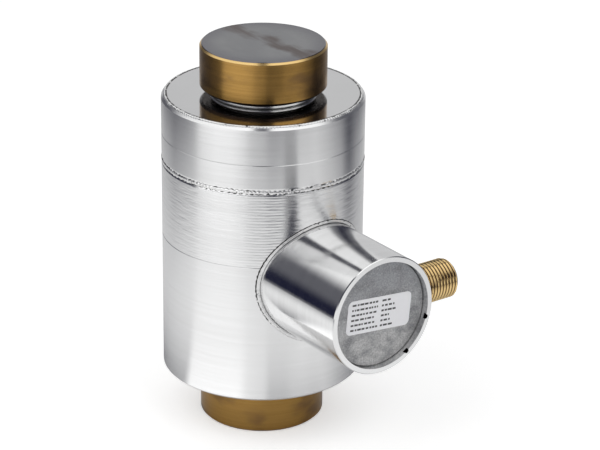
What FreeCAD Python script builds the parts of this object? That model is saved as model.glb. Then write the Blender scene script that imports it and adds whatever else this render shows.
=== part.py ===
import FreeCAD, Part
import math
import os
import Sketcher

# Column load cell for compression.
# A one-piece steel column with a bonded end piece at each end stands on the load axis.
# A welded housing of sleeve, two rings and two thin plates seals its gauged middle.
# A side tube holds the trim board, and a threaded connector leaves the tube sideways.
# Frame: +Z along the load axis, origin at the centre of the foot's bottom face.
# The side tube points along -Y and the connector along +X. All sizes are in millimetres.

SIZES = {
    # whole cell
    "total_height": 150.0,
    "body_diameter": 76.5,
    "fit_gap": 0.05,
    # end pieces
    "end_diameter": 47.7,
    "end_chamfer": 0.9,
    "end_gap": 2.6,
    "stub_length": 9.0,
    # housing
    "housing_base": 20.6,
    "housing_height": 110.0,
    "sleeve_height": 84.6,
    "middle_height": 10.4,
    "housing_wall": 3.2,
    "top_chamfer": 1.4,
    "base_chamfer": 0.8,
    "seam_width": 1.4,
    "seam_depth": 0.25,
    "fine_seam": 0.15,
    "line_height": 75.2,
    "register_step": 1.9,
    "register_height": 3.8,
    "register_room": 0.2,
    # end plates
    "seat_step": 1.75,
    "plate_gap": 0.1,
    "plate_thickness": 5.0,
    "membrane_thickness": 1.2,
    "membrane_step": 3.4,
    "hub_diameter": 44.0,
    "membrane_slope": 1.2,
    "lip_height": 0.8,
    "lip_wall": 0.8,
    # column
    "neck_diameter": 35.6,
    "shoulder_diameter": 42.0,
    "shoulder_height": 8.0,
    "shaft_diameter": 34.0,
    "shaft_taper": 1.6,
    "flat_distance": 15.0,
    "flat_height": 34.0,
    # gauges and their ring board
    "gauge_count": 4,
    "gauge_width": 8.0,
    "gauge_height": 14.0,
    "gauge_thickness": 0.3,
    "ring_inner": 37.8,
    "ring_outer": 54.0,
    "ring_thickness": 1.6,
    "wire_thickness": 0.4,
    "wire_width": 2.0,
    "wire_rise": 14.0,
    "wire_bend": 4.0,
    "lead_thickness": 1.0,
    "lead_width": 5.0,
    "lead_distance": 24.0,
    "lead_bend": 10.0,
    # side tube
    "tube_lift": 4.2,
    "tube_diameter": 45.4,
    "tube_reach": 75.4,
    "tube_wall": 3.4,
    "recess_wall": 2.05,
    "recess_depth": 2.7,
    "rim_chamfer": 0.3,
    "notch_radius": 0.9,
    "notch_depth": 1.2,
    "notch_first": -15.5,
    "notch_second": -56.5,
    "collar_width": 1.3,
    "collar_sink": 0.3,
    # end cover
    "cover_thickness": 3.0,
    "cover_chamfer": 0.3,
    "seal_section": 1.2,
    "label_width": 28.9,
    "label_height": 13.2,
    "label_corner": 2.0,
    "label_thickness": 0.2,
    "label_turn": -5.5,
    # trim board
    "board_room": 1.3,
    "board_thickness": 1.6,
    "pillar_length": 20.0,
    "pillar_corner": 2.9,
    "pillar_inset": 4.0,
    "screw_diameter": 2.5,
    "screw_length": 7.0,
    "head_corner": 2.6,
    "head_height": 1.7,
    "resistor_width": 2.2,
    "resistor_length": 6.0,
    "resistor_thickness": 1.8,
    "resistor_share": 4.5,
    "resistor_drop": 10.0,
    # connector
    "connector_diameter": 15.2,
    "connector_inset": 13.9,
    "connector_length": 18.4,
    "root_reach": 1.8,
    "root_diameter": 14.2,
    "relief_reach": 0.3,
    "connector_chamfer": 1.3,
    "socket_diameter": 11.6,
    "socket_depth": 13.1,
    "rear_bore": 9.6,
    "insert_thickness": 5.0,
    "pin_diameter": 1.0,
    "pin_circle": 5.2,
    "pin_sink": 4.6,
    "pin_tail": 6.0,
    "cable_bend": 5.0,
    "cable_side": 8.0,
}

doc = FreeCAD.newDocument("column_load_cell")
sheet = doc.addObject("Spreadsheet::Sheet", "Sizes")
for row, (word, number) in enumerate(SIZES.items(), start=1):
    sheet.set(f"A{row}", word)
    sheet.set(f"B{row}", str(number))
    sheet.setAlias(f"B{row}", word)
doc.recompute()

PIECES = []


class Cells:
    """Gives each sheet cell's expression as an attribute, such as cell.total_height."""

    def __getattr__(self, word):
        if word not in SIZES:
            raise AttributeError(word)
        return f"Sizes.{word}"


cell = Cells()

# Radii and heights worked out from the sheet's cells, as expressions.
BODY_R = f"({cell.body_diameter} / 2)"
INNER_R = f"({BODY_R} - {cell.housing_wall})"
SEAT_R = f"({BODY_R} - {cell.seat_step})"
RECESS_R = f"({BODY_R} - {cell.register_step})"
SPIGOT_R = f"({RECESS_R} - {cell.fit_gap})"
END_R = f"({cell.end_diameter} / 2)"
NECK_R = f"({cell.neck_diameter} / 2)"
NECK_BORE_R = f"({NECK_R} + {cell.fit_gap})"
SHOULDER_R = f"({cell.shoulder_diameter} / 2)"
SHAFT_R = f"({cell.shaft_diameter} / 2)"
HOUSING_TOP = f"({cell.housing_base} + {cell.housing_height})"
SLEEVE_TOP = f"({cell.housing_base} + {cell.sleeve_height})"
MIDDLE_TOP = f"({SLEEVE_TOP} + {cell.middle_height})"
FOOT_TOP = f"({cell.housing_base} - {cell.end_gap})"
BUTTON_BASE = f"({HOUSING_TOP} + {cell.end_gap})"
LOWER_SEAT = f"({cell.housing_base} + {cell.plate_thickness})"
UPPER_SEAT = f"({HOUSING_TOP} - {cell.plate_thickness})"
MIDDLE_HEIGHT = f"(({LOWER_SEAT} + {UPPER_SEAT}) / 2)"
RING_TOP = f"({UPPER_SEAT} - {cell.shoulder_height})"
RING_BASE = f"({RING_TOP} - {cell.ring_thickness})"
TUBE_HEIGHT = f"({cell.housing_base} + {cell.sleeve_height} / 2 + {cell.tube_lift})"
TUBE_R = f"({cell.tube_diameter} / 2)"
TUBE_BORE_R = f"({TUBE_R} - {cell.tube_wall})"
TUBE_RECESS_R = f"({TUBE_R} - {cell.recess_wall})"
COLLAR_R = f"({TUBE_R} + {cell.fit_gap} + {cell.collar_width})"
PORT_R = f"({COLLAR_R} + {cell.fit_gap})"
COVER_FRONT = f"({cell.tube_reach} - {cell.recess_depth})"
COVER_REAR = f"({COVER_FRONT} - {cell.cover_thickness})"
COVER_R = f"({TUBE_RECESS_R} - {cell.plate_gap})"
BOARD_FRONT = f"({COVER_REAR} - {cell.pillar_length})"
BOARD_REAR = f"({BOARD_FRONT} - {cell.board_thickness})"
BOARD_R = f"({TUBE_BORE_R} - {cell.board_room})"
THREAD_R = f"({cell.connector_diameter} / 2)"
THREAD_START = f"({TUBE_R} + {cell.relief_reach})"
ROOT_R = f"({cell.root_diameter} / 2)"
CONNECTOR_PLACE = f"({cell.tube_reach} - {cell.connector_inset})"
CONNECTOR_ROOT = f"({TUBE_BORE_R} - {cell.root_reach})"
CONNECTOR_FRONT = f"({TUBE_R} + {cell.connector_length})"
SOCKET_R = f"({cell.socket_diameter} / 2)"
SOCKET_FLOOR = f"({CONNECTOR_FRONT} - {cell.socket_depth})"
PIN_FRONT = f"({CONNECTOR_FRONT} - {cell.pin_sink})"
PIN_REAR = f"({SOCKET_FLOOR} - {cell.pin_tail})"


def value(expression):
    """The number that an expression on the sheet's cells has now."""
    return float(sheet.evalExpression(str(expression)))


def bind(target, path, expression):
    """Tie one property of an object to the sheet."""
    target.setExpression(path, str(expression))


# ---------------------------------------------------------------- PartDesign helpers

def new_body(label):
    """An empty body that becomes one piece of the cell."""
    body = doc.addObject("PartDesign::Body", label)
    body.Label = label
    PIECES.append(body)
    return body


def new_sketch(body, role, name, offset=None):
    """A sketch on one of the body's own origin planes, moved along its normal if asked."""
    plane = next(item for item in body.Origin.OriginFeatures if item.Role == role)
    sketch = body.newObject("Sketcher::SketchObject", name)
    sketch.AttachmentSupport = (plane, "")
    sketch.MapMode = "FlatFace"
    if offset is not None:
        bind(sketch, "AttachmentOffset.Base.z", offset)
    return sketch


def pin_point(sketch, geometry, point, across, up):
    """Hold a point of the sketch at a place given by two expressions."""
    for kind, axis, expression in (("DistanceX", -2, across), ("DistanceY", -1, up)):
        if str(expression) == "0":
            sketch.addConstraint(Sketcher.Constraint("PointOnObject", geometry, point, axis))
        else:
            place = value(expression)
            rule = Sketcher.Constraint(kind, -1, 1, geometry, point, place)
            index = sketch.addConstraint(rule)
            bind(sketch, f"Constraints[{index}]", expression)


def outline(sketch, corners):
    """Straight edges in a closed loop through corners bound to the sheet."""
    first = sketch.GeometryCount
    count = len(corners)
    places = [FreeCAD.Vector(value(across), value(up), 0) for across, up in corners]
    for i in range(count):
        sketch.addGeometry(Part.LineSegment(places[i], places[(i + 1) % count]), False)
    for i in range(count):
        follower = first + (i + 1) % count
        sketch.addConstraint(Sketcher.Constraint("Coincident", first + i, 2, follower, 1))
    for i, (across, up) in enumerate(corners):
        pin_point(sketch, first + i, 1, across, up)


def circle(sketch, across, up, radius):
    """A circle whose centre and radius are bound to the sheet."""
    centre = FreeCAD.Vector(value(across), value(up), 0)
    upright = FreeCAD.Vector(0, 0, 1)
    index = sketch.addGeometry(Part.Circle(centre, upright, value(radius)), False)
    pin_point(sketch, index, 3, across, up)
    rule = sketch.addConstraint(Sketcher.Constraint("Radius", index, value(radius)))
    bind(sketch, f"Constraints[{rule}]", radius)


def turn(body, corners):
    """Revolve an outline of (radius, height) corners about the body's own Z axis."""
    sketch = new_sketch(body, "XZ_Plane", body.Name + "_outline")
    outline(sketch, corners)
    feature = body.newObject("PartDesign::Revolution", body.Name + "_turned")
    feature.Profile = sketch
    feature.ReferenceAxis = (sketch, ["V_Axis"])
    feature.Angle = 360.0
    doc.recompute()
    return feature


def cut(body, sketch, length, name, reverse=False, both=False):
    """Pocket a sketch, and make sure that it takes material away."""
    before = body.Shape.Volume
    feature = body.newObject("PartDesign::Pocket", name)
    feature.Profile = sketch
    bind(feature, "Length", length)
    feature.Reversed = reverse
    feature.Midplane = both
    doc.recompute()
    if not feature.Shape.Volume < before - 0.01:
        raise RuntimeError(name + " cuts nothing")
    return feature


def circle_edges(feature, radius, height):
    """Names of the round edges about the local Z axis with this radius and height."""
    names = []
    for number, edge in enumerate(feature.Shape.Edges, start=1):
        curve = edge.Curve
        if isinstance(curve, Part.Circle):
            close = abs(curve.Radius - value(radius)) < 1e-4
            level = abs(curve.Center.z - value(height)) < 1e-4
            centred = math.hypot(curve.Center.x, curve.Center.y) < 1e-4
            if close and level and centred:
                names.append(f"Edge{number}")
    return names


def soften(body, feature, kind, size, rings):
    """Fillet or chamfer the rings (radius, height) of a turned feature."""
    names = []
    for radius, height in rings:
        names += circle_edges(feature, radius, height)
    if not names:
        raise RuntimeError("no edge to soften on " + body.Label)
    dress = body.newObject("PartDesign::" + kind, f"{body.Name}_{kind.lower()}")
    dress.Base = (feature, names)
    bind(dress, "Radius" if kind == "Fillet" else "Size", size)
    doc.recompute()
    return dress


# ---------------------------------------------------------------- Part helpers

def primitive(kind, name, **sizes):
    """A Part primitive with its sizes bound to the sheet."""
    item = doc.addObject("Part::" + kind, name)
    for path, expression in sizes.items():
        bind(item, path, expression)
    return item


def put(item, across=0, along=0, up=0, axis=None, angle=0):
    """Place an object by expressions, turned about an axis through its own origin."""
    if axis is not None:
        turned = FreeCAD.Rotation(FreeCAD.Vector(*axis), angle)
        item.Placement = FreeCAD.Placement(FreeCAD.Vector(), turned)
    for path, expression in (("x", across), ("y", along), ("z", up)):
        if str(expression) != "0":
            bind(item, "Placement.Base." + path, expression)
    return item


def join(kind, name, base, tool):
    """A Part boolean of two objects: Cut, Fuse or Common."""
    if kind == "Fuse":
        item = doc.addObject("Part::MultiFuse", name)
        item.Shapes = [base, tool]
        return item
    if kind == "Common":
        item = doc.addObject("Part::MultiCommon", name)
        item.Shapes = [base, tool]
        return item
    item = doc.addObject("Part::Cut", name)
    item.Base = base
    item.Tool = tool
    return item


def keep(item, label):
    """Give the finished object its piece's name and list it."""
    item.Label = label
    PIECES.append(item)
    return item


OUTWARD = ((1, 0, 0), 90)
SIDEWAYS = ((0, 1, 0), 90)


def in_tube(item, across="0", up="0", reach="0"):
    """Place an object with its Z axis along the side tube, at a reach from the load axis."""
    return put(item, across, f"-({reach})", f"{TUBE_HEIGHT} + ({up})", *OUTWARD)


def round_path(points, radius):
    """Straight runs through the points, joined by tangent arcs of one radius."""
    edges = []
    start = points[0]
    for before, corner, after in zip(points, points[1:], points[2:]):
        come = (corner - before).normalize()
        leave = (after - corner).normalize()
        half = come.getAngle(leave) / 2
        trim = radius * math.tan(half)
        enter = corner - come * trim
        depart = corner + leave * trim
        inward = (leave - come).normalize()
        middle = corner + inward * (radius / math.cos(half) - radius)
        edges.append(Part.LineSegment(start, enter).toShape())
        edges.append(Part.Arc(enter, middle, depart).toShape())
        start = depart
    edges.append(Part.LineSegment(start, points[-1]).toShape())
    return Part.Wire(edges)


def ribbon(label, points, bend, width, thickness):
    """A flat ribbon of wires: a rectangle carried along straight runs and tangent arcs.

    The ribbon lies square to the plane of its points, which all lie in one plane.
    """
    path = round_path(points, bend)
    towards = (points[1] - points[0]).normalize()
    across = towards.cross(points[-1] - points[1]).normalize() * (width / 2)
    inward = across.cross(towards).normalize() * (thickness / 2)
    corners = [across + inward, inward - across, -across - inward, across - inward]
    section = Part.makePolygon([points[0] + corner for corner in corners + corners[:1]])
    item = doc.addObject("Part::Feature", label)
    item.Shape = path.makePipeShell([section], True, False)
    return keep(item, label)


# ---------------------------------------------------------------- load path

def end_piece(label, height):
    """A round end: a flat working face, chamfers, and a blind bore for the column's stub.

    It is drawn with its working face at z = 0 and its bore opening at z = height.
    """
    body = new_body(label)
    bore_floor = f"({height} - {cell.stub_length})"
    turn(body, [
        ("0", "0"),
        (f"{END_R} - {cell.end_chamfer}", "0"),
        (END_R, cell.end_chamfer),
        (END_R, f"{height} - {cell.end_chamfer}"),
        (f"{END_R} - {cell.end_chamfer}", height),
        (NECK_BORE_R, height),
        (NECK_BORE_R, bore_floor),
        ("0", bore_floor),
    ])
    return body


def load_column():
    """The gauged column: two stubs, two shoulders, and a shaft with four milled flats."""
    body = new_body("load_column")
    base = f"({FOOT_TOP} - {cell.stub_length})"
    top = f"({BUTTON_BASE} + {cell.stub_length})"
    lower = f"({LOWER_SEAT} + {cell.shoulder_height})"
    turn(body, [
        ("0", base),
        (NECK_R, base),
        (NECK_R, LOWER_SEAT),
        (SHOULDER_R, LOWER_SEAT),
        (SHOULDER_R, lower),
        (f"{SHAFT_R} + {cell.shaft_taper}", lower),
        (SHAFT_R, f"{lower} + {cell.shaft_taper}"),
        (SHAFT_R, f"{RING_TOP} - {cell.shaft_taper}"),
        (f"{SHAFT_R} + {cell.shaft_taper}", RING_TOP),
        (SHOULDER_R, RING_TOP),
        (SHOULDER_R, UPPER_SEAT),
        (NECK_R, UPPER_SEAT),
        (NECK_R, top),
        ("0", top),
    ])
    sketch = new_sketch(body, "XZ_Plane", "flat_outline")
    low = f"{MIDDLE_HEIGHT} - {cell.flat_height} / 2"
    high = f"{MIDDLE_HEIGHT} + {cell.flat_height} / 2"
    beyond = f"{SHAFT_R} + {cell.shaft_taper}"
    outline(sketch, [
        (cell.flat_distance, low),
        (beyond, low),
        (beyond, high),
        (cell.flat_distance, high),
    ])
    flat = cut(body, sketch, cell.shaft_diameter, "milled_flat", both=True)
    pattern = body.newObject("PartDesign::PolarPattern", "milled_flats")
    pattern.Originals = [flat]
    pattern.Axis = (sketch, ["V_Axis"])
    pattern.Angle = 360.0
    bind(pattern, "Occurrences", cell.gauge_count)
    body.Tip = pattern
    doc.recompute()


# ---------------------------------------------------------------- housing

def housing_sleeve():
    """The long sleeve: plate seat below, spigot above, and the round port for the tube."""
    body = new_body("housing_sleeve")
    base = cell.housing_base
    turn(body, [
        (SEAT_R, base),
        (f"{BODY_R} - {cell.base_chamfer}", base),
        (BODY_R, f"{base} + {cell.base_chamfer}"),
        (BODY_R, f"{cell.line_height} - {cell.fine_seam}"),
        (f"{BODY_R} - {cell.fine_seam}", cell.line_height),
        (BODY_R, f"{cell.line_height} + {cell.fine_seam}"),
        (BODY_R, f"{SLEEVE_TOP} - {cell.seam_width}"),
        (f"{BODY_R} - {cell.seam_depth}", SLEEVE_TOP),
        (SPIGOT_R, SLEEVE_TOP),
        (SPIGOT_R, f"{SLEEVE_TOP} + {cell.register_height}"),
        (INNER_R, f"{SLEEVE_TOP} + {cell.register_height}"),
        (INNER_R, LOWER_SEAT),
        (SEAT_R, LOWER_SEAT),
    ])
    sketch = new_sketch(body, "XZ_Plane", "port_outline")
    circle(sketch, "0", TUBE_HEIGHT, PORT_R)
    cut(body, sketch, cell.body_diameter, "tube_port", reverse=True)


def middle_ring():
    """The ring between the wide seam and the fine seam, registered at both ends."""
    room = f"({SLEEVE_TOP} + {cell.register_height} + {cell.register_room})"
    turn(new_body("middle_ring"), [
        (RECESS_R, SLEEVE_TOP),
        (f"{BODY_R} - {cell.seam_depth}", SLEEVE_TOP),
        (BODY_R, f"{SLEEVE_TOP} + {cell.seam_width}"),
        (BODY_R, f"{MIDDLE_TOP} - {cell.fine_seam}"),
        (f"{BODY_R} - {cell.fine_seam}", MIDDLE_TOP),
        (SPIGOT_R, MIDDLE_TOP),
        (SPIGOT_R, f"{MIDDLE_TOP} + {cell.register_height}"),
        (INNER_R, f"{MIDDLE_TOP} + {cell.register_height}"),
        (INNER_R, room),
        (RECESS_R, room),
    ])


def upper_ring():
    """The top ring, which carries the top plate in a seat inside its chamfered rim."""
    room = f"({MIDDLE_TOP} + {cell.register_height} + {cell.register_room})"
    turn(new_body("upper_ring"), [
        (RECESS_R, MIDDLE_TOP),
        (f"{BODY_R} - {cell.fine_seam}", MIDDLE_TOP),
        (BODY_R, f"{MIDDLE_TOP} + {cell.fine_seam}"),
        (BODY_R, f"{HOUSING_TOP} - {cell.top_chamfer}"),
        (f"{BODY_R} - {cell.top_chamfer}", HOUSING_TOP),
        (SEAT_R, HOUSING_TOP),
        (SEAT_R, UPPER_SEAT),
        (INNER_R, UPPER_SEAT),
        (INNER_R, room),
        (RECESS_R, room),
    ])


def end_plate(label):
    """A plate with a thin flexing membrane between its rim and its hub.

    It is drawn with its outer face at z = 0, its lip below it and its inside above.
    """
    body = new_body(label)
    lip_r = f"({NECK_BORE_R} + {cell.lip_wall})"
    rim_r = f"({SEAT_R} - {cell.plate_gap})"
    groove_outer = f"({rim_r} - {cell.membrane_step})"
    groove_inner = f"({cell.hub_diameter} / 2)"
    turn(body, [
        (NECK_BORE_R, f"-{cell.lip_height}"),
        (lip_r, f"-{cell.lip_height}"),
        (lip_r, "0"),
        (rim_r, "0"),
        (rim_r, cell.plate_thickness),
        (groove_outer, cell.plate_thickness),
        (f"{groove_outer} - {cell.membrane_slope}", cell.membrane_thickness),
        (f"{groove_inner} + {cell.membrane_slope}", cell.membrane_thickness),
        (groove_inner, cell.plate_thickness),
        (NECK_BORE_R, cell.plate_thickness),
    ])
    return body


# ---------------------------------------------------------------- side tube

def side_tube():
    """The tube: a root cut to the sleeve's bore, a cover seat, and the connector's hole."""
    body = new_body("side_tube")
    turned = turn(body, [
        (TUBE_BORE_R, "0"),
        (TUBE_R, "0"),
        (TUBE_R, cell.tube_reach),
        (TUBE_RECESS_R, cell.tube_reach),
        (TUBE_RECESS_R, COVER_REAR),
        (TUBE_BORE_R, COVER_REAR),
    ])
    soften(body, turned, "Chamfer", cell.rim_chamfer, [(TUBE_R, cell.tube_reach)])
    saddle = new_sketch(body, "XZ_Plane", "saddle_outline")
    circle(saddle, "0", "0", INNER_R)
    cut(body, saddle, f"2 * {cell.tube_diameter}", "saddle_root", both=True)
    hole = new_sketch(body, "YZ_Plane", "connector_outline")
    circle(hole, "0", CONNECTOR_PLACE, f"{ROOT_R} + {cell.fit_gap}")
    cut(body, hole, cell.tube_diameter, "connector_hole", reverse=True)
    notch = new_sketch(body, "XY_Plane", "notch_outline", cell.tube_reach)
    for turn_angle in (cell.notch_first, cell.notch_second):
        across = f"{TUBE_RECESS_R} * cos({turn_angle} * 1 deg)"
        up = f"{TUBE_RECESS_R} * sin({turn_angle} * 1 deg)"
        circle(notch, across, up, cell.notch_radius)
    cut(body, notch, cell.notch_depth, "pry_notches")
    in_tube(body)


def tube_collar():
    """The ring that closes the port round the tube, dressed to the sleeve's curve."""
    outer = primitive("Cylinder", "collar_outer", Radius=COLLAR_R, Height=cell.tube_reach)
    inner = primitive("Cylinder", "collar_inner", Radius=f"{TUBE_R} + {cell.fit_gap}",
                      Height=f"2 * {cell.tube_reach}")
    ring = join("Cut", "collar_ring", in_tube(outer), in_tube(inner))
    skin = primitive("Cylinder", "collar_skin", Radius=f"{BODY_R} - {cell.collar_sink}",
                     Height=HOUSING_TOP)
    hollow = primitive("Cylinder", "collar_hollow", Radius=INNER_R, Height=HOUSING_TOP)
    shell = join("Cut", "collar_shell", skin, hollow)
    keep(join("Common", "tube_collar", ring, shell), "tube_collar")


def end_cover():
    """The blasted disc that closes the tube, with a rebate for the seal round its back."""
    body = new_body("end_cover")
    rebate_r = f"({TUBE_RECESS_R} - {cell.seal_section} - {cell.fit_gap})"
    turn(body, [
        ("0", COVER_REAR),
        (rebate_r, COVER_REAR),
        (rebate_r, f"{COVER_REAR} + {cell.seal_section}"),
        (COVER_R, f"{COVER_REAR} + {cell.seal_section}"),
        (COVER_R, f"{COVER_FRONT} - {cell.cover_chamfer}"),
        (f"{COVER_R} - {cell.cover_chamfer}", COVER_FRONT),
        ("0", COVER_FRONT),
    ])
    in_tube(body)


def cover_seal():
    """The square-section seal between the cover's rebate and the tube's ledge and wall."""
    outer = primitive("Cylinder", "seal_outer", Radius=f"{TUBE_RECESS_R} - {cell.fit_gap}",
                      Height=f"{cell.seal_section} - {cell.fit_gap}")
    inner = primitive("Cylinder", "seal_inner", Radius=f"{TUBE_RECESS_R} - {cell.seal_section}",
                      Height=f"3 * {cell.seal_section}")
    in_tube(outer, reach=COVER_REAR)
    in_tube(inner, reach=f"{COVER_REAR} - {cell.seal_section}")
    keep(join("Cut", "cover_seal", outer, inner), "cover_seal")


def label_plate():
    """The bare label: a thin rounded rectangle, slightly turned on the cover."""
    body = new_body("label")
    sketch = new_sketch(body, "XY_Plane", "label_outline")
    wide = f"({cell.label_width} / 2)"
    high = f"({cell.label_height} / 2)"
    outline(sketch, [
        (f"-{wide}", f"-{high}"),
        (wide, f"-{high}"),
        (wide, high),
        (f"-{wide}", high),
    ])
    pad = body.newObject("PartDesign::Pad", "label_pad")
    pad.Profile = sketch
    bind(pad, "Length", cell.label_thickness)
    doc.recompute()
    names = []
    for number, edge in enumerate(pad.Shape.Edges, start=1):
        low, up = edge.Vertexes[0].Point, edge.Vertexes[-1].Point
        if abs(up.z - low.z) > 1e-4:
            names.append(f"Edge{number}")
    corners = body.newObject("PartDesign::Fillet", "label_corners")
    corners.Base = (pad, names)
    bind(corners, "Radius", cell.label_corner)
    doc.recompute()
    outward = FreeCAD.Rotation(FreeCAD.Vector(*OUTWARD[0]), OUTWARD[1])
    turned = FreeCAD.Rotation(FreeCAD.Vector(0, 0, 1), value(cell.label_turn))
    body.Placement = FreeCAD.Placement(FreeCAD.Vector(), outward.multiply(turned))
    bind(body, "Placement.Base.y", f"-{COVER_FRONT}")
    bind(body, "Placement.Base.z", TUBE_HEIGHT)


# ---------------------------------------------------------------- inside the tube

PILLARS = 3


def pillar_places():
    """Across and up, in the tube's own frame, of the pillars on their circle."""
    places = []
    for number in range(PILLARS):
        angle = f"(90 + {number} * 360 / {PILLARS}) * 1 deg"
        reach = f"({BOARD_R} - {cell.pillar_inset})"
        places.append((f"{reach} * cos({angle})", f"{reach} * sin({angle})"))
    return places


def trim_board():
    """The round board on the pillars, with a hole for each screw."""
    board = primitive("Cylinder", "board_disc", Radius=BOARD_R, Height=cell.board_thickness)
    in_tube(board, reach=BOARD_REAR)
    for number, (across, up) in enumerate(pillar_places(), start=1):
        drill = primitive("Cylinder", f"board_drill_{number}",
                          Radius=f"{cell.screw_diameter} / 2 + {cell.fit_gap}",
                          Height=f"3 * {cell.board_thickness}")
        in_tube(drill, across, up, f"{BOARD_REAR} - {cell.board_thickness}")
        board = join("Cut", f"board_drilled_{number}", board, drill)
    keep(board, "trim_board")


def board_pillar(number, across, up):
    """A six-sided pillar, stud-welded to the cover, with a blind bore for its screw."""
    bar = primitive("Prism", f"pillar_bar_{number}", Circumradius=cell.pillar_corner,
                    Height=cell.pillar_length)
    bar.Polygon = 6
    bore = primitive("Cylinder", f"pillar_bore_{number}",
                     Radius=f"{cell.screw_diameter} / 2 + {cell.fit_gap}",
                     Height=f"2 * {cell.screw_length}")
    in_tube(bar, across, up, BOARD_FRONT)
    in_tube(bore, across, up, f"{BOARD_FRONT} - {cell.screw_length}")
    keep(join("Cut", f"board_pillar_{number}", bar, bore), f"board_pillar_{number}")


def board_screw(number, across, up):
    """A six-sided screw head on the board's rear face, and its shank in the pillar."""
    shank = primitive("Cylinder", f"screw_shank_{number}", Radius=f"{cell.screw_diameter} / 2",
                      Height=f"{cell.screw_length} + {cell.head_height}")
    head = primitive("Prism", f"screw_head_{number}", Circumradius=cell.head_corner,
                     Height=cell.head_height)
    head.Polygon = 6
    seat = f"{BOARD_REAR} - {cell.head_height}"
    in_tube(shank, across, up, seat)
    in_tube(head, across, up, seat)
    keep(join("Fuse", f"board_screw_{number}", shank, head), f"board_screw_{number}")


RESISTORS = 4


def trim_resistor(number):
    """A chip resistor on the board's rear face, in a row of its kind."""
    item = primitive("Box", f"trim_resistor_{number}", Length=cell.resistor_width,
                     Width=cell.resistor_length, Height=cell.resistor_thickness)
    step = number - 1 - (RESISTORS - 1) / 2
    across = f"{step} * {BOARD_R} / {cell.resistor_share} - {cell.resistor_width} / 2"
    in_tube(item, across, f"-{cell.resistor_drop}", f"{BOARD_REAR} - {cell.resistor_thickness}")
    keep(item, f"trim_resistor_{number}")


# ---------------------------------------------------------------- connector

def in_connector(item, across="0", up="0", reach="0"):
    """Place an object with its Z axis along the connector, which points along +X."""
    put(item, reach, f"-{CONNECTOR_PLACE} + ({across})",
        f"{TUBE_HEIGHT} + ({up})", *SIDEWAYS)


def connector_shell():
    """The barrel: a plain root in the tube's wall, a thread, and the plug's socket."""
    body = new_body("connector_shell")
    turn(body, [
        (f"{cell.rear_bore} / 2", CONNECTOR_ROOT),
        (ROOT_R, CONNECTOR_ROOT),
        (ROOT_R, THREAD_START),
        (THREAD_R, THREAD_START),
        (THREAD_R, f"{CONNECTOR_FRONT} - {cell.connector_chamfer}"),
        (f"{THREAD_R} - {cell.connector_chamfer}", CONNECTOR_FRONT),
        (SOCKET_R, CONNECTOR_FRONT),
        (SOCKET_R, SOCKET_FLOOR),
        (f"{cell.rear_bore} / 2", SOCKET_FLOOR),
    ])
    in_connector(body)


PINS = 6


def pin_places():
    """Across and up, in the connector's own frame, of the contact pins."""
    places = []
    for number in range(PINS):
        angle = f"({number} * 360 / {PINS}) * 1 deg"
        reach = f"{cell.pin_circle} / 2"
        places.append((f"{reach} * cos({angle})", f"{reach} * sin({angle})"))
    return places


def connector_insert():
    """The moulded insulator on the socket's floor, with a hole for each pin."""
    block = primitive("Cylinder", "insert_block", Radius=f"{SOCKET_R} - {cell.fit_gap}",
                      Height=cell.insert_thickness)
    in_connector(block, reach=SOCKET_FLOOR)
    for number, (across, up) in enumerate(pin_places(), start=1):
        drill = primitive("Cylinder", f"insert_drill_{number}",
                          Radius=f"{cell.pin_diameter} / 2 + {cell.fit_gap}",
                          Height=f"3 * {cell.insert_thickness}")
        in_connector(drill, across, up, f"{SOCKET_FLOOR} - {cell.insert_thickness}")
        block = join("Cut", f"insert_drilled_{number}", block, drill)
    keep(block, "connector_insert")


def connector_pin(number, across, up):
    """A plain contact pin right through the insert."""
    pin = primitive("Cylinder", f"contact_{number}", Radius=f"{cell.pin_diameter} / 2",
                    Height=f"{PIN_FRONT} - {PIN_REAR}")
    in_connector(pin, across, up, PIN_REAR)
    keep(pin, f"connector_pin_{number}")


# ---------------------------------------------------------------- gauges and wiring

def strain_gauge(number, angle):
    """A gauge on its flat: a thin foil plate bonded at the middle of the shaft."""
    item = primitive("Box", f"strain_gauge_{number}", Length=cell.gauge_thickness,
                     Width=cell.gauge_width, Height=cell.gauge_height)
    radians = f"{angle} * 1 deg"
    half = f"{cell.gauge_width} / 2"
    put(item, f"{cell.flat_distance} * cos({radians}) + {half} * sin({radians})",
        f"{cell.flat_distance} * sin({radians}) - {half} * cos({radians})",
        f"{MIDDLE_HEIGHT} - {cell.gauge_height} / 2", (0, 0, 1), angle)
    keep(item, f"strain_gauge_{number}")


def gauge_wire(number, angle):
    """A fine ribbon from a gauge's face, out past the flat's end, up to the ring board."""
    thickness = value(cell.wire_thickness)
    face = value(f"{cell.flat_distance} + {cell.gauge_thickness}") + thickness / 2
    ring = value(f"{SHOULDER_R} - {cell.shaft_taper}")
    start = value(MIDDLE_HEIGHT)
    bend = value(f"{MIDDLE_HEIGHT} + {cell.gauge_height} / 2")
    rise = bend + value(cell.wire_rise)
    turned = FreeCAD.Rotation(FreeCAD.Vector(0, 0, 1), angle)
    places = ((face, start), (face, bend), (ring, rise), (ring, value(RING_BASE)))
    points = [turned.multVec(FreeCAD.Vector(out, 0, up)) for out, up in places]
    ribbon(f"gauge_wire_{number}", points, value(cell.wire_bend), value(cell.wire_width), thickness)


def terminal_ring():
    """The ring board under the column's upper shoulder, where the gauges are wired up."""
    disc = primitive("Cylinder", "ring_disc", Radius=f"{cell.ring_outer} / 2",
                     Height=cell.ring_thickness)
    hole = primitive("Cylinder", "ring_hole", Radius=f"{cell.ring_inner} / 2",
                     Height=f"3 * {cell.ring_thickness}")
    put(disc, up=RING_BASE)
    put(hole, up=f"{RING_BASE} - {cell.ring_thickness}")
    keep(join("Cut", "terminal_ring", disc, hole), "terminal_ring")


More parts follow.
